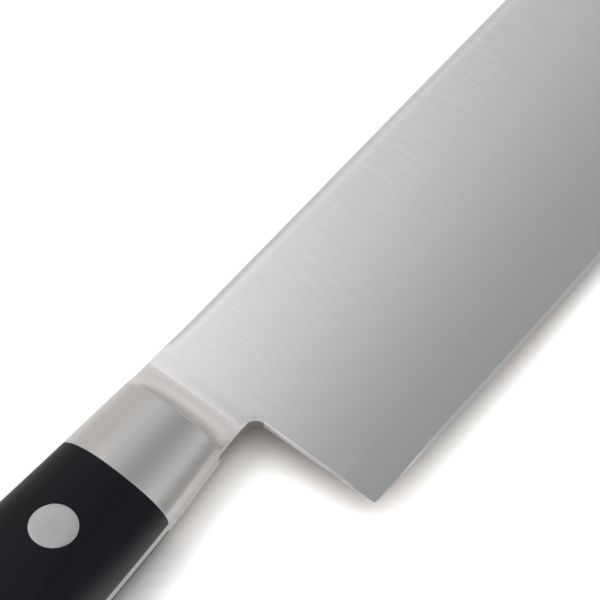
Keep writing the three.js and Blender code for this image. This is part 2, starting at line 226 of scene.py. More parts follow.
class Finishes(bpy.types.PropertyGroup):
    """Colours and surfaces of the materials."""

    blade: tint("Blade steel", "Satin hairline steel of the blade", (0.675, 0.675, 0.675))
    blade_rough: share("Blade roughness", "Softness of the blade's reflections", 0.2)
    hairline: share("Hairlines", "Spread of the reflections across the hairlines", 0.8)
    edge_rough: share("Edge roughness", "Softness of the sharpened strip's reflections", 0.328)
    bolster: tint("Bolster steel", "Smooth polished steel of the bolster", (0.532, 0.522, 0.517))
    bolster_rough: share("Bolster roughness", "Softness of the bolster's reflections", 0.298)
    ramp: tint("Ramp steel", "Satin steel at the bolster's thin front", (0.775, 0.753, 0.748))
    ramp_rough: share("Ramp roughness", "Softness of the reflections at the thin front", 0.4)
    rivet: tint("Rivet steel", "Ground steel of the rivets", (0.488, 0.488, 0.504))
    # Painted highlight: the heel's chamfer is coloured bright at its top and darker lower down,
    # standing in for a reflection.
    heel: tint("Heel corner", "Painted highlight on the heel's chamfer, at its top", (0.92, 0.92, 0.92))
    heel_low: tint("Heel corner low", "The painted highlight where it runs out below", (0.5, 0.5, 0.5))
    # Painted shade: the steel in the neck's hollow is coloured dark, standing in for the shadowed
    # floor that it reflects.
    neck: tint("Neck", "Painted shade on the steel in the hollow of the neck", (0.235, 0.22, 0.195))
    neck_rough: share("Neck roughness", "Softness of the reflections in that hollow", 0.42)
    rivet_rough: share("Rivet roughness", "Softness of the rivets' reflections", 0.42)
    resin: tint("Resin", "Black resin laminate of the scales", (0.0055, 0.0068, 0.0105))
    # Painted sheen: a paler resin colour along the belly, standing in for the floor's reflection on
    # the lower round.
    painted_sheen: tint("Painted sheen on resin", "Resin painted paler along the belly, as a sheen", (0.062, 0.064, 0.067))
    resin_rough: share("Resin roughness", "Softness of the scales' reflections", 0.4)


class StageSettings(bpy.types.PropertyGroup):
    """Floor, light and camera."""

    floor: tint("Floor", "Colour of the pale floor", (0.9, 0.9, 0.9))
    rise: share("Floor slope", "Rise of the table from the grip to the nose", 0.0326)
    contact: size("Resting place", "Seam to where the grip touches the table", SWELL)
    shade: tint("Floor in shadow", "Colour of the covered floor", (0.921, 0.9, 0.882))
    lift: number("Floor lift", "How much brighter than lit the camera sees the floor", 3.08)
    shine: number("Floor shine", "How much brighter than lit the steel shows it", 1.664)
    shadow: share("Floor shadow", "How far the camera sees the covered floor darken", 0.977)
    shadow_reach: size("Shadow reach", "How far above the floor the knife still darkens it", 0.02)
    shadow_bend: number("Shadow bend", "How fast the shadow clears away from the knife", 1.3)
    walls: number("Walls", "Light of the surroundings near the floor", 0.842)
    ceiling: number("Ceiling", "Light of the surroundings overhead", 0.342)
    warm: tint("Wall colour", "Colour of walls and lamps", (1.0, 0.98, 0.953))
    cool: tint("Ceiling colour", "Colour of the ceiling", (0.95, 0.97, 1.0))
    lamp: number("Lamp", "Light of the soft box beyond the spine", 1.52)
    left_fill: number("Left fill", "Light of the soft panel beyond the butt", 0.14)
    front_fill: number("Front fill", "Light of the soft panel above the edge", 0.922)
    front_shade: number("Front shade", "Light that a dark panel beyond the edge takes", 0.405)


class KnifeSettings(bpy.types.PropertyGroup):
    """All settings of the knife."""

    blade: PointerProperty(type=BladeSizes, name="Blade", description="Sizes of the blade")
    handle: PointerProperty(type=HandleSizes, name="Handle", description="Sizes of the handle")
    rivets: PointerProperty(type=RivetSizes, name="Rivets", description="Sizes of the rivets")
    finishes: PointerProperty(type=Finishes, name="Finishes", description="Colours and surfaces")
    stage: PointerProperty(type=StageSettings, name="Stage", description="Floor, light and camera")


def line_through(stations, level_start, level_end):
    """A smooth line through (x, value) stations in rising x, level at the ends that ask for it."""
    x, y = np.array(stations).T
    secants = np.diff(y) / np.diff(x)
    slopes = np.concatenate([secants[:1], (secants[:-1] + secants[1:]) / 2, secants[-1:]])
    slopes[0] *= not level_start
    slopes[-1] *= not level_end

    def at(place):
        place = np.clip(place, x[0], x[-1])
        i = np.clip(np.searchsorted(x, place) - 1, 0, len(secants) - 1)
        step = x[i + 1] - x[i]
        t = (place - x[i]) / step
        ends = y[i] * (1 + 2 * t) * (1 - t) ** 2 + y[i + 1] * t * t * (3 - 2 * t)
        return ends + step * (slopes[i] * t * (1 - t) ** 2 - slopes[i + 1] * t * t * (1 - t))

    return at


def smooth_step(low, high, value):
    """0 below low, 1 above high, and a soft rise between them."""
    t = np.clip((value - low) / (high - low), 0, 1)
    return t * t * (3 - 2 * t)


class KnifeForm:
    """Lines and rules of the knife in metres from the heel, the spine and the steel's middle."""

    def __init__(self, settings):
        self.blade = blade = settings.blade
        self.handle = handle = settings.handle
        self.rivets = settings.rivets
        self.toe = -handle.neck_radius - handle.neck
        self.heel_top = -handle.neck_radius - handle.belly_neck
        self.shoulder = self.toe - handle.ramp
        self.seam = self.shoulder - handle.bolster
        self.swell = self.seam - handle.swell
        self.waist = self.swell - handle.waist
        self.pommel = self.waist - handle.flare
        self.butt = self.pommel - handle.pommel
        self.half_stock = blade.stock / 2
        self.back_line = line_through([
            (self.butt, handle.back_butt),
            (self.pommel, handle.back_pommel),
            (self.swell, handle.back_swell),
            (self.seam, handle.back_seam),
            (0, 0),
        ], False, True)
        self.belly_line = line_through([
            (self.butt, -handle.belly_butt),
            (self.pommel, -handle.belly_pommel),
            (self.waist, -handle.belly_waist),
            (self.swell, -handle.belly_swell),
            (self.seam, -handle.belly_seam),
            (-handle.neck_radius, -handle.belly_neck),
        ], False, True)
        self.side_line = line_through([
            (self.swell, handle.grip / 2),
            (self.seam, handle.seam_thickness / 2),
            (self.shoulder, handle.shoulder_thickness / 2),
        ], True, False)
        ground_height = blade.height - blade.bevel_height
        self.slope = (blade.stock - blade.bevel_thickness) / 2 / ground_height
        self.thinning = blade.taper / 2 / blade.length
        top = self.back(np.linspace(self.butt, 0, 400)).max()
        self.origin = Vector((CORE_LOW.x - self.butt, CORE_HIGH.y - top, MIDDLE_Z))

    def butt_round(self, x, radius):
        """How far a round of that radius draws the handle in near the butt."""
        inside = np.maximum(radius - (x - self.butt), 0)
        return radius - np.sqrt(radius ** 2 - inside ** 2)

    def back(self, x):
        """Upper outline of handle and tang."""
        return self.back_line(x) - self.butt_round(x, self.handle.butt_back)

    def belly(self, x):
        """Lower outline of handle and tang."""
        return self.belly_line(x) + self.butt_round(x, self.handle.butt_belly)

    def side(self, x):
        """Half the handle's thickness: grip, taper, soft shoulder and hollow ramp."""
        handle = self.handle
        toe = self.half_stock + handle.toe
        top = handle.shoulder_thickness / 2

        def crisp(place):
            fall = np.clip((self.toe - place) / handle.ramp, 0, 1)
            ramp = toe + (top - toe) * fall ** handle.hollow
            grip = self.side_line(place) - self.butt_round(place, handle.butt_edge)
            return np.where(place > self.shoulder, ramp, grip)

        ease = handle.shoulder_ease
        t = np.clip((x - self.shoulder + ease) / (2 * ease), 0, 1)
        low, high = crisp(self.shoulder - ease), crisp(self.shoulder + ease)
        soft = low * (1 - t) ** 2 + 2 * top * t * (1 - t) + high * t * t
        return np.where(np.abs(x - self.shoulder) < ease, soft, crisp(x))

    def edge(self, x):
        """The cutting edge's line in plan."""
        blade = self.blade
        sag = blade.edge_low ** 2 / (2 * blade.edge_radius)
        return -blade.height - sag + (x - blade.edge_low) ** 2 / (2 * blade.edge_radius)

    def bevel(self, x):
        """Height of the sharpened strip, which widens from a thread past the heel."""
        blade = self.blade
        widening = smooth_step(blade.bevel_start, blade.bevel_full, x)
        return blade.bevel_thread + (blade.bevel_height - blade.bevel_thread) * widening

    def strip(self, x):
        """The upper line of the sharpened strip in plan."""
        return self.edge(x) + self.bevel(x)

    def bond(self, x):
        """The line in plan where the grind reaches the core."""
        blade = self.blade
        bulge = 4 * blade.swell
        fall = self.slope * blade.height - bulge
        depth = self.half_stock - self.thinning * x - blade.core / 2
        return -blade.height * (np.sqrt(fall ** 2 + 4 * bulge * depth) - fall) / (2 * bulge)

    def rivet_places(self):
        """Centres of the rivets in plan."""
        first, last = self.seam - self.rivets.first, self.butt + self.rivets.last
        x = np.linspace(first, last, len(RIVETS))
        return np.stack([x, (self.back(x) + self.belly(x)) / 2 + self.rivets.rise], axis=1)


def quarter(count):
    """Angles from 0 to a right angle."""
    return np.linspace(0, math.pi / 2, count + 1)


def arc(centre, radius, start, end, count):
    """Points along an arc, its angles in right angles."""
    turn = np.linspace(start, end, count + 1) * math.pi / 2
    return np.stack([centre[0] + radius * np.cos(turn), centre[1] + radius * np.sin(turn)], axis=1)


def run(start, end, step):
    """Points along a straight line, about a step apart, with both ends."""
    start, end = np.array(start, float), np.array(end, float)
    count = max(1, round(np.linalg.norm(end - start) / step))
    return start + (end - start) * np.linspace(0, 1, count + 1)[:, None]


def points_on(line, x):
    """Points of one of the knife's lines in plan."""
    return np.stack([x, line(x)], axis=1)


def plate_outline(form, clad):
    """Outline of a steel layer, clockwise from the butt. Cladding ends where the core is bare."""
    blade, handle = form.blade, form.handle
    length, corner, nose_radius = blade.length, blade.nose_edge, blade.nose_spine
    butt = form.butt + handle.butt_back * (1 - np.cos(quarter(12)))
    grip = np.arange(butt[-1] + GRIP_STEP, form.toe, GRIP_STEP)
    places = np.concatenate([butt, grip, run((form.toe,), (0,), NECK_STEP)[:, 0]])
    neck = arc((-handle.neck_radius, form.heel_top), handle.neck_radius, 0, 1, 12)
    nose = arc((length - nose_radius, -nose_radius), nose_radius, 1, 0, 28)
    if clad:
        lower = [points_on(form.bond, np.linspace(length, 0, 56))]
    else:
        end, heel = length - corner, blade.heel
        lower = [
            arc((end, form.edge(end) + corner), corner, 0, -1, 10),
            points_on(form.edge, np.linspace(end, heel, 84)),
            arc((heel, form.edge(heel) + heel), heel, -1, -2, 8),
        ]
    points = np.concatenate([
        points_on(form.back, places),
        run((0, 0), nose[0], SPINE_STEP),
        nose,
        run(nose[-1], lower[0][0], NOSE_STEP),
        *lower,
        run(lower[-1][-1], neck[0], HEEL_STEP),
        neck,
        points_on(form.belly, places[places <= -handle.neck_radius][::-1]),
    ])
    return points[np.linalg.norm(points - np.roll(points, 1, axis=0), axis=1) > ONE_POINT]


def distance_to(points, line):
    """Distance of each point from an open line of points."""
    start, step = line[:-1], np.diff(line, axis=0)
    t = ((points[:, None] - start) * step).sum(2) / (step ** 2).sum(1)
    near = start + np.clip(t, 0, 1)[..., None] * step
    return np.linalg.norm(points[:, None] - near, axis=2).min(1)


def sheared_rims(form, outline):
    """The runs of the outline whose corners are broken: spine and nose, and neck and heel."""
    x, y = outline.T
    free = (np.abs(y - form.bond(x)) > ON_LINE) | (x < form.blade.heel)
    clear = (x < 0) | ((y - form.edge(x) > EDGE_MARGIN) & free)
    bare = outline[clear & (x >= form.toe)]
    lower = (bare[:, 1] <= ON_LINE - form.handle.belly_neck) & (bare[:, 0] < form.blade.heel)
    heel_side = bare[lower]
    return bare[~lower], heel_side[heel_side[:, 1].argsort()]


def inward(line):
    """Unit normals of an open line, on the side of the steel."""
    along = np.gradient(line, axis=0)
    normal = np.stack([along[:, 1], -along[:, 0]], axis=1)
    return normal / np.linalg.norm(normal, axis=1)[:, None]


def quarter_fall(share_in):
    """How far a quarter round of radius 1 lies below its top, at a share of its reach."""
    return 1 - np.sqrt(1 - np.clip(1 - share_in, 0, 1) ** 2)


def inner_points(form, clad):
    """Points inside the sheet, close together where the grind runs in beside the bolster."""
    nose_radius, neck_radius = form.blade.nose_spine, form.handle.neck_radius
    margin, above_edge, inside_nose, beside_neck = 0.0006, 0.002, 0.0018, 0.0005

    def grid(along, low, step):
        down = np.arange(low, -0.0019, step)
        return np.stack(np.meshgrid(along, down), axis=-1).reshape(-1, 2)

    points = np.concatenate([
        grid(np.arange(form.toe, 0.0015, NECK_STEP), -0.046, 0.0011),
        grid(np.arange(SPINE_STEP, 0.164, SPINE_STEP), -0.0485, 0.0012),
    ])
    x, y = points.T
    low = np.where(x < margin, form.belly(np.minimum(x, 0)) + margin, form.edge(x) + above_edge)
    if clad:
        low = np.maximum(low, np.where(x < margin, -1, form.bond(x) + margin))
    past = np.maximum(x - (form.blade.length - nose_radius), 0)
    in_nose = np.hypot(past, np.maximum(y + nose_radius, 0)) < nose_radius - inside_nose
    neck = np.hypot(x + neck_radius, y - form.heel_top)
    clear = (neck > neck_radius + beside_neck) | (x > beside_neck)
    return points[(y > low) & in_nose & clear]


def new_mesh(name, points, faces):
    """A new mesh from rows of points and lists of their numbers."""
    mesh = bpy.data.meshes.new(name)
    mesh.from_pydata(points.tolist(), [], faces)
    return mesh


def put_in_scene(name, data):
    """A new object in the scene."""
    item = bpy.data.objects.new(name, data)
    bpy.context.scene.collection.objects.link(item)
    return item


def put_values(mesh, name, values):
    """Stores one number for each point of a mesh."""
    layer = mesh.attributes.new(name, "FLOAT", "POINT")
    layer.data.foreach_set("value", np.asarray(values, np.float32))


def plate_sheet(form, name, clad):
    """A flat sheet in a layer's outline, with the values that the grinding rule reads."""
    blade = form.blade
    outline = plate_outline(form, clad)
    points, edges = [outline], []
    closed = [(i, (i + 1) % len(outline)) for i in range(len(outline))]

    def add_line(line, loop=False):
        first = sum(map(len, points))
        points.append(line)
        edges.extend((first + i, first + i + 1) for i in range(len(line) - 1))
        if loop:
            edges.append((first + len(line) - 1, first))

    spine_rim, heel_rim = sheared_rims(form, outline)
    for turn in quarter(8)[1:]:
        add_line(spine_rim + blade.spine_round * (1 - math.cos(turn)) * inward(spine_rim))
    add_line(heel_rim + blade.chamfer * inward(heel_rim))
    holes = form.rivet_places()
    bore = form.rivets.shank + form.rivets.gap
    for place in holes:
        add_line(arc(place, bore, 0, 4, 48)[:-1], loop=True)
    if not clad:
        margin = 0.0008
        add_line(points_on(form.strip, np.linspace(margin, blade.length - margin, 96)))
        add_line(points_on(form.bond, np.linspace(0, blade.length, 97)))
    points.append(inner_points(form, clad))
    flat = [Vector(point) for point in np.concatenate(points)]
    rim = [list(range(len(outline)))]
    coords, _, faces, _, _, _ = delaunay_2d_cdt(flat, edges + closed, rim, 1, EQUAL)
    coords = np.array([tuple(c) for c in coords])
    faces = np.array([f for f in faces if len(f) == 3])
    centres = coords[faces].mean(1)
    bored = (np.linalg.norm(centres[:, None] - holes, axis=2) < bore).any(1)
    mesh = new_mesh(name, np.c_[coords, np.zeros(len(coords))], faces[~bored].tolist())
    x, y = coords.T
    above = np.where(x < 0, 1, (y - form.edge(x)) / form.bevel(x))
    off_edge, chamfer_fade = 2.5, 0.9
    rounding = quarter_fall(distance_to(coords, spine_rim) / blade.spine_round)
    spine_fall = blade.spine_drop * rounding * smooth_step(form.toe, blade.spine_run_in, x)
    breaking = np.clip(1 - distance_to(coords, heel_rim) / blade.chamfer, 0, 1)
    run_out = smooth_step(-blade.chamfer_end, -chamfer_fade * blade.chamfer_end, y)
    run_in = smooth_step(form.heel_top, form.heel_top - CHAMFER_RUN_IN, y)
    heel_fall = blade.chamfer_drop * breaking * run_out * run_in
    put_values(mesh, "eased", np.maximum(spine_fall, heel_fall) * smooth_step(1, off_edge, above))
    put_values(mesh, "ground", smooth_step(form.toe, 0, x))
    put_values(mesh, "bevel", np.clip(above, 0, 1))
    bm = bmesh.new()
    bm.from_mesh(mesh)
    bmesh.ops.delete(bm, geom=[v for v in bm.verts if not v.link_faces], context="VERTS")
    for face in bm.faces:
        if face.normal.z < 0:
            face.normal_flip()
    bm.to_mesh(mesh)
    bm.free()
    return mesh


def add(tree, kind, inputs=None, **settings):
    """Adds a node, sets its options and fills its inputs with values or links."""
    node = tree.nodes.new(kind)
    for key, value in settings.items():
        setattr(node, key, value)
    for key, value in (inputs or {}).items():
        if isinstance(value, bpy.types.NodeSocket):
            tree.links.new(value, node.inputs[key])
        else:
            node.inputs[key].default_value = value
    return node


def calc(tree, operation, *values):
    """One step of arithmetic in a node tree."""
    return add(tree, "ShaderNodeMath", dict(enumerate(values)), operation=operation).outputs[0]


def reckon(tree, operation, *values):
    """One step of arithmetic with directions or colours in a node tree."""
    return add(tree, "ShaderNodeVectorMath", dict(enumerate(values)), operation=operation).outputs


def split(tree, vector):
    """The parts of a vector along the axes."""
    return add(tree, "ShaderNodeSeparateXYZ", {0: vector}).outputs


def at_level(tree, place, level):
    """A place in plan at another height."""
    parts = {"X": place["X"], "Y": place["Y"], "Z": level}
    return add(tree, "ShaderNodeCombineXYZ", parts).outputs[0]


def mix(tree, part, first, second):
    """Goes over from one number to another."""
    return add(tree, "ShaderNodeMix", {"Factor": part, "A": first, "B": second}).outputs[0]


def blend(tree, part, first, second):
    """Goes over from one colour to another."""
    inputs = {"Factor": part, 6: first, 7: second}
    return add(tree, "ShaderNodeMix", inputs, data_type="RGBA").outputs[2]


def stored(tree, name):
    """A number that is stored on each point."""
    return add(tree, "GeometryNodeInputNamedAttribute", {"Name": name}).outputs["Attribute"]


def moved(tree, geometry, place):
    """Geometry with its points put in a new place."""
    inputs = {"Geometry": geometry, "Position": place}
    return add(tree, "GeometryNodeSetPosition", inputs).outputs[0]


def node_group(name, inputs):
    """A new geometry tree with named inputs, its input sockets and its output node."""
    tree = bpy.data.node_groups.new(name, "GeometryNodeTree")
    kinds = {"Geometry": "Geometry", "Handle": "Object", "Origin": "Vector", "Material": "Material"}
    for label in ("Geometry", *inputs, "Origin", "Material"):
        kind = "NodeSocket" + kinds.get(label, "Float")
        tree.interface.new_socket(label, in_out="INPUT", socket_type=kind)
    tree.interface.new_socket("Geometry", in_out="OUTPUT", socket_type="NodeSocketGeometry")
    return tree, add(tree, "NodeGroupInput").outputs, add(tree, "NodeGroupOutput")


def finish_tree(tree, output, geometry, given):
    """Moves the result to its place, and ends the tree in real geometry with its material."""
    for kind, inputs in (
        ("GeometryNodeTransform", {"Translation": given["Origin"]}),
        ("GeometryNodeRealizeInstances", {}),
        ("GeometryNodeSetMaterial", {"Material": given["Material"]}),
    ):
        geometry = add(tree, kind, {"Geometry": geometry, **inputs}).outputs[0]
    tree.links.new(geometry, output.inputs["Geometry"])


def shape_by(tree, mesh, values):
    """Runs a geometry tree on a mesh, with its inputs set by name, and returns a plain mesh."""
    holder = put_in_scene(mesh.name, mesh)
    modifier = holder.modifiers.new(tree.name, "NODES")
    modifier.node_group = tree
    for item in tree.interface.items_tree:
        if item.item_type == "SOCKET" and item.in_out == "INPUT" and item.name in values:
            modifier[item.identifier] = values[item.name]
    return take_mesh(holder)


def take_mesh(holder):
    """The evaluated mesh of an object whose modifiers are then no longer needed."""
    bpy.context.view_layer.update()
    ready = holder.evaluated_get(bpy.context.evaluated_depsgraph_get())
    shaped = bpy.data.meshes.new_from_object(ready)
    holder.modifiers.clear()
    bpy.data.objects.remove(holder)
    return shaped


def ground_layer_tree():
    """Grinds a flat sheet: tapered faces, bevel and eased corners, kept between two planes."""
    tree, given, output = node_group("Ground layer", (
        "Half Stock", "Half Edge", "Grind Slope", "Distal Slope", "Height", "Swell", "Low", "High",
    ))
    sliver, least_share = 2e-6, 0.4

    def do(operation, *values):
        return calc(tree, operation, *values)

    lifted = add(tree, "GeometryNodeExtrudeMesh", {
        "Mesh": given["Geometry"],
        "Offset": (0, 0, 1),
        "Offset Scale": 1,
        "Individual": False,
    }, mode="FACES")
    under = add(tree, "GeometryNodeFlipFaces", {"Mesh": given["Geometry"]})
    both = add(tree, "GeometryNodeJoinGeometry", {"Geometry": lifted.outputs["Mesh"]})
    tree.links.new(under.outputs["Mesh"], both.inputs["Geometry"])
    place = split(tree, add(tree, "GeometryNodeInputPosition").outputs[0])
    fall = do("MULTIPLY", place["Y"], given["Grind Slope"])
    thinning = do("MULTIPLY", do("MAXIMUM", place["X"], 0.0), given["Distal Slope"])
    down = do("DIVIDE", place["Y"], given["Height"])
    arch = do("MULTIPLY", do("MULTIPLY", down, do("ADD", down, 1.0)), given["Swell"])
    convex = do("MULTIPLY_ADD", arch, -4.0, do("SUBTRACT", fall, thinning))
    face = do("ADD", given["Half Stock"], do("MULTIPLY", convex, stored(tree, "ground")))
    half_edge = given["Half Edge"]
    wedge = do("MULTIPLY_ADD", do("SUBTRACT", face, half_edge), stored(tree, "bevel"), half_edge)
    eased = do("SUBTRACT", wedge, stored(tree, "eased"))
    height = do("MAXIMUM", eased, do("MULTIPLY", wedge, least_share))
    least_top = do("ADD", given["Low"], sliver)
    most_bottom = do("SUBTRACT", given["High"], sliver)
    top = do("MAXIMUM", do("MINIMUM", height, given["High"]), least_top)
    bottom = do("MINIMUM", do("MAXIMUM", do("MULTIPLY", height, -1.0), given["Low"]), most_bottom)
    level = mix(tree, do("GREATER_THAN", place["Z"], 0.5), bottom, top)
    sheet = moved(tree, both.outputs[0], at_level(tree, place, level))
    closed = add(tree, "GeometryNodeMergeByDistance", {"Geometry": sheet, "Distance": ONE_POINT})
    finish_tree(tree, output, closed.outputs[0], given)
    return tree


def loft(name, bodies):
    """A mesh of closed bodies, each over rings of points that follow each other."""
    points, faces = [], []
    for rings in bodies:
        count, around = rings.shape[:2]
        index = np.arange(count * around).reshape(count, around) + sum(map(len, points))
        low, high = index[:-1], index[1:]
        quads = np.stack([low, np.roll(low, -1, 1), np.roll(high, -1, 1), high], axis=-1)
        faces.extend([*quads.reshape(-1, 4).tolist(), index[0].tolist(), index[-1].tolist()])
        points.append(rings.reshape(-1, 3))
    mesh = new_mesh(name, np.concatenate(points), faces)
    bm = bmesh.new()
    bm.from_mesh(mesh)
    bmesh.ops.recalc_face_normals(bm, faces=bm.faces)
    bm.to_mesh(mesh)
    bm.free()
    return mesh


def half_sections(form, places, sign, eased=True):
    """Right or left half sections of the handle, drawn in a little at an eased seam."""
    handle = form.handle
    turn = quarter(28)
    sections = []
    for x in places:
        ease = handle.seam_ease if eased and abs(x - form.seam) < EQUAL else 0
        back, belly = form.back(x) - ease, form.belly(x) + ease
        rise = form.side(x) - ease - form.half_stock
        free = back - belly - handle.flat_side
        fit = min(1, free / (handle.back_round + handle.belly_round))
        grip = smooth_step(-form.seam, -form.swell, -x)
        high = handle.crown * (1 - grip) + handle.back_round * fit * grip
        low = (free - handle.crown) * (1 - grip) + handle.belly_round * fit * grip
        bend = 2 / (handle.crown_power * (1 - grip) + 2 * grip)
        upper = np.stack([back - high * (1 - np.cos(turn)), np.sin(turn)], axis=1)
        lower = np.stack([belly + low * (1 - np.cos(turn) ** bend), np.sin(turn) ** bend], axis=1)
        y, share_up = np.concatenate([upper, lower[::-1]]).T
        z = (form.half_stock + rise * share_up) * sign
        sections.append(np.stack([np.full(len(y), x), y, z], axis=1))
    return np.array(sections) + np.array(form.origin)


def scale_places(form):
    """Places of the scale's sections from the butt to the seam."""
    butt = form.butt + form.handle.butt_back * (1 - np.cos(quarter(18)))
    seam = form.seam - form.handle.seam_ease
    return np.concatenate([butt[:-1], np.linspace(butt[-1], seam, 100), [form.seam]])


def bolster_places(form):
    """Places of the bolster's sections from the seam to the front, close at the shoulder."""
    ease, crowding = form.handle.shoulder_ease, 1.15
    behind, ahead = form.shoulder - ease, form.shoulder + ease
    body = np.linspace(form.seam + form.handle.seam_ease, behind, 36)[:-1]
    shoulder = np.linspace(behind, ahead, 9)[:-1]
    ramp = ahead + (form.toe - form.shoulder - ease) * np.linspace(0, 1, 44) ** crowding
    return np.concatenate([[form.seam], body, shoulder, ramp])


def rivet_drill(form):
    """A body of stepped pins that cuts the rivet holes into both scales."""
    rivets, far = form.rivets, form.handle.grip
    shank, head = rivets.shank + rivets.gap, rivets.head + rivets.gap
    turn = np.linspace(0, 2 * math.pi, 96, endpoint=False)
    circle = np.stack([np.cos(turn), np.sin(turn), np.zeros(len(turn))], axis=1)
    pins = []
    for place in form.rivet_places():
        seat = float(form.side(place[0])) - rivets.depth
        upper = [(shank, seat), (head, seat), (head, far)]
        profile = [(radius, -z) for radius, z in reversed(upper)] + upper
        rings = np.array([radius * circle + (0, 0, z) for radius, z in profile])
        pins.append(rings + np.array([*place, 0]) + np.array(form.origin))
    return put_in_scene("rivet_drill", loft("rivet_drill", pins))


def drilled(mesh, drill):
    """A copy of a mesh with the drill's pins cut out of it."""
    holder = put_in_scene(mesh.name, mesh)
    cut = holder.modifiers.new("Rivet holes", "BOOLEAN")
    cut.operation = "DIFFERENCE"
    cut.solver = "EXACT"
    cut.object = drill
    return take_mesh(holder)


def rivet_row_tree():
    """Sets rivets on points: shanks through the handle and heads flush with its two sides."""
    tree, given, output = node_group("Rivet row", (
        "Handle", "Head Radius", "Head Thickness", "Shank Radius", "Rim",
    ))
    far_above, worn_from = 0.1, 0.97
    skin = add(tree, "GeometryNodeObjectInfo", {"Object": given["Handle"]}).outputs["Geometry"]
    here = add(tree, "GeometryNodeInputPosition").outputs[0]
    place = split(tree, here)
    ray = add(tree, "GeometryNodeRaycast", {
        "Target Geometry": skin,
        "Source Position": at_level(tree, place, far_above),
        "Ray Direction": (0, 0, -1),
        "Ray Length": 1,
    })
    side = split(tree, ray.outputs["Hit Position"])["Z"]

    def keep(geometry, name, value):
        inputs = {"Geometry": geometry, "Name": name, "Value": value}
        return add(tree, "GeometryNodeStoreNamedAttribute", inputs).outputs[0]

    def on_points(body, level):
        put = add(tree, "GeometryNodeInstanceOnPoints", {"Points": seated, "Instance": body})
        real = add(tree, "GeometryNodeRealizeInstances", {"Geometry": put.outputs[0]})
        return moved(tree, real.outputs[0], at_level(tree, place, level))

    under_head = calc(tree, "SUBTRACT", side, given["Head Thickness"])
    seated = keep(given["Geometry"], "seat", under_head)
    seat = stored(tree, "seat")
    disc = add(tree, "GeometryNodeMeshCylinder", {
        "Vertices": 96,
        "Side Segments": 1,
        "Fill Segments": 16,
        "Radius": given["Head Radius"],
        "Depth": 2,
    }, fill_type="TRIANGLE_FAN").outputs["Mesh"]
    in_plan = reckon(tree, "MULTIPLY", here, (1, 1, 0))[0]
    reach = calc(tree, "DIVIDE", reckon(tree, "LENGTH", in_plan)["Value"], given["Head Radius"])
    worn = calc(tree, "MULTIPLY", calc(tree, "GREATER_THAN", reach, worn_from), given["Rim"])
    marked = keep(disc, "worn", worn)
    flush = calc(tree, "SUBTRACT", side, stored(tree, "worn"))
    upper = calc(tree, "GREATER_THAN", place["Z"], 0.0)
    heads = on_points(marked, mix(tree, upper, seat, flush))
    mirror = add(tree, "GeometryNodeTransform", {"Geometry": heads, "Scale": (1, 1, -1)})
    other_heads = add(tree, "GeometryNodeFlipFaces", {"Mesh": mirror.outputs[0]}).outputs[0]
    rod = add(tree, "GeometryNodeMeshCylinder", {
        "Vertices": 48,
        "Radius": given["Shank Radius"],
        "Depth": 2,
    }).outputs["Mesh"]
    shanks = on_points(rod, calc(tree, "MULTIPLY", place["Z"], seat))
    whole = add(tree, "GeometryNodeJoinGeometry", {"Geometry": heads})
    tree.links.new(other_heads, whole.inputs["Geometry"])
    tree.links.new(shanks, whole.inputs["Geometry"])
    finish_tree(tree, output, whole.outputs[0], given)
    return tree


def empty_tree(owner):
    """The emptied node tree of a new material or world."""
    owner.use_nodes = True
    owner.node_tree.nodes.clear()
    return owner.node_tree


def new_finish(name, metal=1):
    """A new material, its tree, its shader and a point on the object to read patterns from."""
    material = bpy.data.materials.new(name)
    tree = empty_tree(material)
    shader = add(tree, "ShaderNodeBsdfPrincipled", {"Metallic": metal})
    add(tree, "ShaderNodeOutputMaterial", {"Surface": shader.outputs[0]})
    return material, tree, shader, add(tree, "ShaderNodeTexCoord").outputs["Object"]


def grain(tree, place, stretch, scale, detail):
    """Noise drawn out along an axis, as brushing and sanding leave it."""
    laid = add(tree, "ShaderNodeMapping", {"Vector": place, "Scale": stretch}).outputs[0]
    inputs = {"Vector": laid, "Scale": scale, "Detail": detail}
    return add(tree, "ShaderNodeTexNoise", inputs).outputs[0]


def span(tree, value, start, end, low=0.0, high=1.0, kind="LINEAR"):
    """Goes from one number to another while a value goes from start to end."""
    return add(tree, "ShaderNodeMapRange", {
        "Value": value, "From Min": start, "From Max": end, "To Min": low, "To Max": high,
    }, interpolation_type=kind).outputs[0]


def about(tree, noise, middle, spread):
    """Turns noise into a range about a number."""
    return span(tree, noise, NOISE_LOW, NOISE_HIGH, middle - spread, middle + spread)


def two_tone(tree, noise, colour, spread):
    """A colour that noise makes a little darker and lighter."""
    ramp = add(tree, "ShaderNodeValToRGB", {"Fac": noise})
    stops = zip(ramp.color_ramp.elements, (NOISE_LOW, NOISE_HIGH), (1 - spread, 1 + spread))
    for stop, place, factor in stops:
        stop.position = place
        stop.color = (*(min(1, c * factor) for c in colour), 1)
    return ramp.outputs[0]


def dress(tree, shader, colour, roughness, height, depth):
    """Fills a shader with its colour, its roughness and a fine relief of the given depth."""
    tree.links.new(colour, shader.inputs["Base Color"])
    tree.links.new(roughness, shader.inputs["Roughness"])
    relief = add(tree, "ShaderNodeBump", {"Height": height, "Strength": 1, "Distance": depth})
    tree.links.new(relief.outputs[0], shader.inputs["Normal"])


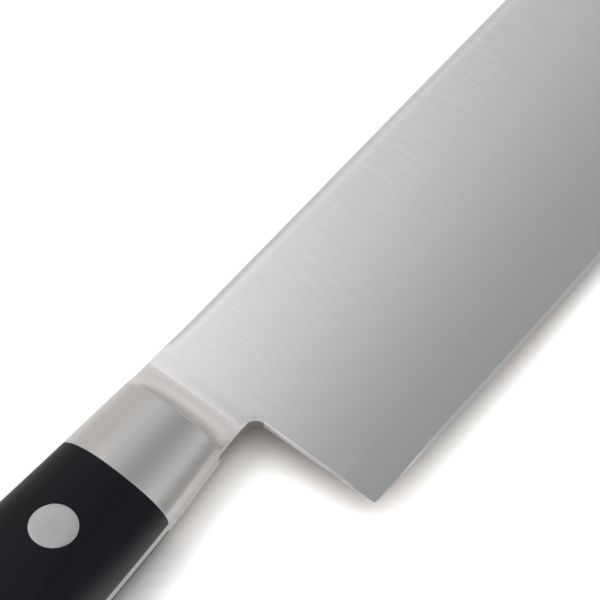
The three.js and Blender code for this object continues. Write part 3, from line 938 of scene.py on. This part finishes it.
def hairline_steel(name, finish, spine):
    """Satin steel with hairlines from spine to edge, clearest beside the spine."""
    material, tree, shader, place = new_finish(name)
    shader.inputs["Anisotropic"].default_value = finish.hairline
    tangent = add(tree, "ShaderNodeTangent", direction_type="UV_MAP", uv_map=UV_NAME)
    tree.links.new(tangent.outputs[0], shader.inputs["Tangent"])
    fine, broad = grain(tree, place, *HAIRLINES), grain(tree, place, *BROAD_LINES)
    both = calc(tree, "MULTIPLY_ADD", fine, 0.7, calc(tree, "MULTIPLY", broad, 0.3))
    down = split(tree, place)["Y"]
    clear = span(tree, down, spine - FAINT_DEPTH, spine - CLEAR_DEPTH, 0.3)
    both = calc(tree, "MULTIPLY_ADD", calc(tree, "SUBTRACT", both, 0.5), clear, 0.5)
    colour = two_tone(tree, both, finish.blade, 0.044)
    dress(tree, shader, colour, about(tree, broad, finish.blade_rough, 0.006), fine, 1e-7)
    return material


def polished_steel(name, colour, roughness, turn=None, axis="X"):
    """Smooth steel with faint wheel marks, which may turn along one axis to another colour and
    roughness: for a satin front, for painted shade in the neck's hollow and for a painted highlight
    down the heel.
    """
    material, tree, shader, place = new_finish(name)
    marks, waves = grain(tree, place, *WHEEL_MARKS), grain(tree, place, *WAVES)
    shade = two_tone(tree, marks, colour, 0.004)
    softness = about(tree, marks, roughness, 0.006)
    if turn:
        start, end, other_colour, other_rough = turn
        part = span(tree, split(tree, place)[axis], start, end)
        softness = mix(tree, part, softness, other_rough)
        shade = blend(tree, part, shade, two_tone(tree, marks, other_colour, 0.006))
    dress(tree, shader, shade, softness, waves, 1.5e-6)
    return material


def ground_steel(name, colour, roughness):
    """Rivet steel, ground flush with the handle."""
    material, tree, shader, place = new_finish(name)
    marks, clouds = grain(tree, place, *GRINDING), grain(tree, place, *CLOUDS)
    shade = two_tone(tree, clouds, colour, 0.03)
    dress(tree, shader, shade, about(tree, marks, roughness, 0.03), marks, 4e-7)
    return material


def resin_laminate(name, colour, painted_sheen, roughness):
    """Black resin laminate with a faint grain along the handle, and a painted sheen that makes it
    paler along the belly.
    """
    material, tree, shader, place = new_finish(name, metal=0)
    shader.inputs["Specular IOR Level"].default_value = 0.14
    fibres, pores = grain(tree, place, *FIBRES), grain(tree, place, *PORES)
    # Painted sheen: the resin turns paler where its surface faces down to the belly side.
    facing = split(tree, add(tree, "ShaderNodeNewGeometry").outputs["Normal"])["Y"]
    belly = span(tree, facing, -0.45, -0.98, kind="SMOOTHSTEP")
    plain, pale = two_tone(tree, fibres, colour, 0.2), two_tone(tree, fibres, painted_sheen, 0.08)
    shade = blend(tree, belly, plain, pale)
    dress(tree, shader, shade, about(tree, fibres, roughness, 0.05), pores, 1.2e-6)
    return material


def place_piece(name, mesh, materials, nodes, sharp=32):
    """Puts a finished mesh in the scene as a piece that stands for its solids."""
    mesh.materials.clear()
    for material in materials:
        mesh.materials.append(material)
    mesh.shade_smooth()
    mesh.set_sharp_from_angle(angle=math.radians(sharp))
    lay_out(mesh)
    piece = put_in_scene(name, mesh)
    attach(piece, "root")
    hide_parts(*nodes)
    return piece


def lay_out(mesh):
    """Gives a mesh its plan as a map, so that brushing can follow the knife's length."""
    corners = np.empty(len(mesh.loops), np.int32)
    mesh.loops.foreach_get("vertex_index", corners)
    points = np.empty(len(mesh.vertices) * 3, np.float32)
    mesh.vertices.foreach_get("co", points)
    plan = points.reshape(-1, 3)[corners][:, :2] * 4 + 0.5
    layer = mesh.uv_layers.get(UV_NAME) or mesh.uv_layers.new(name=UV_NAME)
    layer.data.foreach_set("uv", plan.astype(np.float32).ravel())


def mark_steel(mesh, form, clad):
    """Gives the faces of a layer their finishes, with painted shade in the neck's hollow and a
    painted highlight down the heel's chamfer, and keeps the lines between them crisp.
    """
    blade, handle, origin = form.blade, form.handle, np.array(form.origin)
    heel_rim = sheared_rims(form, plate_outline(form, clad))[1]
    centres = (np.array([face.center for face in mesh.polygons]) - origin)[:, :2]
    upright = np.abs([face.normal.z for face in mesh.polygons]) < UPRIGHT
    x, y = centres.T
    covered = (x < form.toe) | (not clad) & (y > form.bond(x))
    in_neck = (x > form.shoulder - handle.neck) & (x < 0) & (y < -handle.belly_neck / 2)
    by_heel = (distance_to(centres, heel_rim) < blade.chamfer) & (y < form.heel_top)
    index = np.where((x > 0) & (y < form.strip(x)), BEVEL, LAYER)
    index[covered | upright] = TANG
    # Upright faces in the neck's hollow take the painted shade, and the top faces along the heel's
    # chamfer the painted highlight.
    index[upright & in_neck] = NECK
    index[~upright & by_heel & (y > -blade.chamfer_end)] = HEEL
    mesh.polygons.foreach_set("material_index", index.astype(np.int32))
    points = (np.array([point.co for point in mesh.vertices]) - origin)[:, :2]
    on_line = np.abs(distance_to(points, heel_rim) - blade.chamfer) < ON_LINE
    sides = {}
    for face, kind in zip(mesh.polygons, index.tolist()):
        for key in face.edge_keys:
            sides.setdefault(key, set()).add(kind)
    for edge in mesh.edges:
        if len(sides[edge.key]) > 1 or on_line[list(edge.vertices)].all():
            edge.use_edge_sharp = True


def chosen(context):
    """The user's settings, the knife's form after them and its finishes."""
    settings = context.scene.nakiri
    return settings, KnifeForm(settings), settings.finishes


class NAKIRI_OT_blade(bpy.types.Operator):
    """Build the three steel layers of blade and tang"""

    bl_idname = "nakiri.blade"
    bl_label = "Blade"

    def execute(self, context):
        settings, form, finish = chosen(context)
        blade, neck, spine = settings.blade, settings.handle.neck, form.origin.y
        clad_steel = hairline_steel("clad_steel", finish, spine)
        core_steel = hairline_steel("core_steel", finish, spine)
        tang_steel = polished_steel("tang_steel", finish.bolster, finish.bolster_rough)
        edge_steel = polished_steel("edge_steel", finish.blade, finish.edge_rough)
        # The heel's chamfer gets a painted highlight: bright near the spine, darker where the
        # chamfer runs out below.
        rough, bright_at = finish.edge_rough, spine - BRIGHT_DEPTH
        painted_highlight = spine - blade.chamfer_end, bright_at, finish.heel, rough
        heel_steel = polished_steel("heel_steel", finish.heel_low, rough, painted_highlight, "Y")
        # The neck's hollow gets painted shade: its upright faces turn dark near the shoulder and
        # stay dark up to the heel.
        shade_from = form.shoulder - neck + form.origin.x
        painted_shade = shade_from, shade_from + neck, finish.neck, finish.neck_rough
        neck_steel = polished_steel("neck_steel", finish.bolster, finish.bolster_rough, painted_shade)
        tree = ground_layer_tree()
        half, core = blade.stock / 2, blade.core / 2
        for name, node, slot, steel, low, high in (
            ("core_layer", "blade_core", "core_steel", core_steel, -core, core),
            ("clad_layer_right", "cladding_right", "clad_steel", clad_steel, core, half),
            ("clad_layer_left", "cladding_left", "clad_steel", clad_steel, -half, -core),
        ):
            clad = node != "blade_core"
            mesh = shape_by(tree, plate_sheet(form, name + "_sheet", clad), {
                "Half Stock": half,
                "Half Edge": blade.edge_thickness / 2,
                "Grind Slope": form.slope,
                "Distal Slope": form.thinning,
                "Height": blade.height,
                "Swell": blade.swell,
                "Low": low,
                "High": high,
                "Origin": form.origin,
                "Material": steel,
            })
            steels = [steel, tang_steel, edge_steel, neck_steel, heel_steel]
            place_piece(name, mesh, steels, [node])
            mark_steel(mesh, form, clad)
        return {"FINISHED"}


class NAKIRI_OT_bolsters(bpy.types.Operator):
    """Build the two bolster halves"""

    bl_idname = "nakiri.bolsters"
    bl_label = "Bolsters"

    def execute(self, context):
        settings, form, finish = chosen(context)
        satin_share, shift = 0.6, form.origin.x
        satin_end = form.shoulder + satin_share * settings.handle.ramp + shift
        satin = form.shoulder + shift, satin_end, finish.ramp, finish.ramp_rough
        steel = polished_steel("bolster_steel", finish.bolster, finish.bolster_rough, satin)
        for side, sign in HALVES:
            name = f"bolster_half_{side}"
            mesh = loft(name, [half_sections(form, bolster_places(form), sign)])
            place_piece(name, mesh, [steel], [f"bolster_{side}"], sharp=24)
        return {"FINISHED"}


class NAKIRI_OT_scales(bpy.types.Operator):
    """Build the two resin scales with their rivet holes"""

    bl_idname = "nakiri.scales"
    bl_label = "Scales"

    def execute(self, context):
        _, form, finish = chosen(context)
        resin = resin_laminate("black_resin", finish.resin, finish.painted_sheen, finish.resin_rough)
        drill = rivet_drill(form)
        for side, sign in HALVES:
            name = f"scale_half_{side}"
            mesh = drilled(loft(name, [half_sections(form, scale_places(form), sign)]), drill)
            place_piece(name, mesh, [resin], [f"scale_{side}"])
        bpy.data.objects.remove(drill)
        return {"FINISHED"}


class NAKIRI_OT_rivets(bpy.types.Operator):
    """Build the row of compression rivets"""

    bl_idname = "nakiri.rivets"
    bl_label = "Rivets"

    def execute(self, context):
        settings, form, finish = chosen(context)
        rivets = settings.rivets
        steel = ground_steel("rivet_steel", finish.rivet, finish.rivet_rough)
        grip = half_sections(form, scale_places(form), 1, eased=False) - np.array(form.origin)
        skin = put_in_scene("grip_skin", loft("grip_skin", [grip]))
        points = new_mesh("rivet_points", np.c_[form.rivet_places(), np.zeros(len(RIVETS))], [])
        mesh = shape_by(rivet_row_tree(), points, {
            "Handle": skin,
            "Head Radius": rivets.head,
            "Head Thickness": rivets.depth,
            "Shank Radius": rivets.shank,
            "Rim": rivets.rim,
            "Origin": form.origin,
            "Material": steel,
        })
        bpy.data.objects.remove(skin)
        nodes = [f"{rivet}_{half}" for rivet in RIVETS for half in ("sleeve", "pin")]
        place_piece("rivet_row", mesh, [steel], nodes)
        return {"FINISHED"}


def pale_floor(stage):
    """Floor paper that shows white to the camera and in the steel, and keeps the shadow."""
    material = bpy.data.materials.new("floor_paper")
    tree = empty_tree(material)
    path = add(tree, "ShaderNodeLightPath").outputs
    mirrored = calc(tree, "MAXIMUM", path["Is Glossy Ray"], path["Is Transmission Ray"])
    cover = add(tree, "ShaderNodeAmbientOcclusion", {"Distance": stage.shadow_reach}, samples=16)
    free = calc(tree, "POWER", cover.outputs["AO"], stage.shadow_bend)
    deep = stage.lift * (1 - stage.shadow) - 1
    shaded = calc(tree, "MULTIPLY_ADD", free, stage.lift * stage.shadow, deep)
    seen = calc(tree, "MULTIPLY_ADD", path["Is Camera Ray"], shaded, 1.0)
    look = calc(tree, "MULTIPLY_ADD", mirrored, stage.shine - 1, seen)
    colour = blend(tree, free, (*stage.shade, 1), (*stage.floor, 1))
    lit = add(tree, "ShaderNodeVectorMath", {0: colour, "Scale": look}, operation="SCALE")
    paper = add(tree, "ShaderNodeBsdfDiffuse", {"Color": lit.outputs[0]})
    add(tree, "ShaderNodeOutputMaterial", {"Surface": paper.outputs[0]})
    return material


def soft_edge(tree, value, place, width, falling):
    """Goes softly from 0 to 1 across a place, or from 1 to 0."""
    ends = float(falling), float(not falling)
    return span(tree, value, place - width / 2, place + width / 2, *ends, "SMOOTHSTEP")


def soft_box(tree, way):
    """A rectangle with soft edges, measured on a ceiling that hangs one unit above the knife."""
    part = split(tree, way)
    up = calc(tree, "MAXIMUM", part["Z"], 0.02)
    box = 1.0
    for axis, place, width, falling in BOX_SIDES:
        across = calc(tree, "DIVIDE", part[axis], up)
        box = calc(tree, "MULTIPLY", box, soft_edge(tree, across, place, width, falling))
    return box


def soft_panel(tree, way, middle, sharpness):
    """A round soft light about a direction."""
    towards = reckon(tree, "DOT_PRODUCT", way, Vector(middle).normalized())["Value"]
    return calc(tree, "EXPONENT", calc(tree, "MULTIPLY_ADD", towards, sharpness, -sharpness))


def studio_world(scene, stage):
    """Pale walls, a darker ceiling, a soft box beyond the spine, two soft panels and a dark one."""
    scene.world = bpy.data.worlds.new("studio")
    tree = empty_tree(scene.world)
    way = add(tree, "ShaderNodeTexCoord").outputs["Generated"]
    middle, width = (CEILING_LOW + CEILING_HIGH) / 2, CEILING_HIGH - CEILING_LOW
    overhead = soft_edge(tree, split(tree, way)["Z"], middle, width, False)
    walls, ceiling = Vector(stage.warm) * stage.walls, Vector(stage.cool) * stage.ceiling
    light = reckon(tree, "MULTIPLY_ADD", overhead, ceiling - walls, walls)[0]
    for shape, bright in (
        (soft_box(tree, way), stage.lamp),
        (soft_panel(tree, way, *LEFT_FILL), stage.left_fill),
        (soft_panel(tree, way, *FRONT_FILL), stage.front_fill),
        (soft_panel(tree, way, *FRONT_SHADE), -stage.front_shade),
    ):
        light = reckon(tree, "MULTIPLY_ADD", shape, Vector(stage.warm) * bright, light)[0]
    sky = add(tree, "ShaderNodeBackground", {"Color": light})
    add(tree, "ShaderNodeOutputWorld", {"Surface": sky.outputs[0]})


class NAKIRI_OT_stage(bpy.types.Operator):
    """Set up the floor, the light and the camera"""

    bl_idname = "nakiri.stage"
    bl_label = "Stage"

    def execute(self, context):
        scene = context.scene
        settings, form, _ = chosen(context)
        stage, half = settings.stage, FLOOR_HALF
        scene.view_settings.view_transform = "Standard"
        contact = form.origin.x + form.seam - stage.contact
        plan = ((-half, -half), (half, -half), (half, half), (-half, half))
        corners = np.array([(x, y, (x - contact) * stage.rise) for x, y in plan])
        mesh = new_mesh("floor", corners, [(0, 1, 2, 3)])
        mesh.materials.append(pale_floor(stage))
        floor = put_in_scene("floor", mesh)
        studio_world(scene, stage)
        camera = put_in_scene("camera", bpy.data.cameras.new("camera"))
        camera.data.lens = LENS
        camera.data.sensor_width = SENSOR
        camera.data.clip_start = 0.01
        camera.data.clip_end = 20
        camera.location = form.origin + Vector(CAMERA_PLACE)
        sight = form.origin + Vector(CAMERA_AIM) - camera.location
        camera.rotation_euler = sight.to_track_quat("-Z", "Y").to_euler()
        scene.camera = camera
        return {"FINISHED"}


class NAKIRI_PT_panel(bpy.types.Panel):
    """Lists the knife's settings and its steps."""

    bl_idname = "NAKIRI_PT_panel"
    bl_label = "Nakiri knife"
    bl_space_type = "VIEW_3D"
    bl_region_type = "UI"
    bl_category = "Nakiri"

    def draw(self, context):
        settings = context.scene.nakiri
        for group in ("blade", "handle", "rivets", "finishes", "stage"):
            box = self.layout.box()
            box.label(text=group.capitalize())
            values = getattr(settings, group)
            for key in values.bl_rna.properties.keys():
                if key not in ("rna_type", "name"):
                    box.prop(values, key)
        for operator in STEPS:
            self.layout.operator(operator.bl_idname)


STEPS = (NAKIRI_OT_blade, NAKIRI_OT_bolsters, NAKIRI_OT_scales, NAKIRI_OT_rivets, NAKIRI_OT_stage)
GROUPS = (BladeSizes, HandleSizes, RivetSizes, Finishes, StageSettings, KnifeSettings)


def register():
    """Makes the settings, steps and panel known."""
    for item in (*GROUPS, *STEPS, NAKIRI_PT_panel):
        bpy.utils.register_class(item)
    bpy.types.Scene.nakiri = PointerProperty(
        type=KnifeSettings, name="Nakiri", description="Settings of the knife"
    )


def unregister():
    """Takes the settings, steps and panel away again."""
    del bpy.types.Scene.nakiri
    for item in reversed((*GROUPS, *STEPS, NAKIRI_PT_panel)):
        bpy.utils.unregister_class(item)


def main():
    """Builds the knife step by step."""
    register()
    bpy.ops.nakiri.blade()
    bpy.ops.nakiri.bolsters()
    bpy.ops.nakiri.scales()
    bpy.ops.nakiri.rivets()
    bpy.ops.nakiri.stage()


if __name__ == "__main__":
    main()
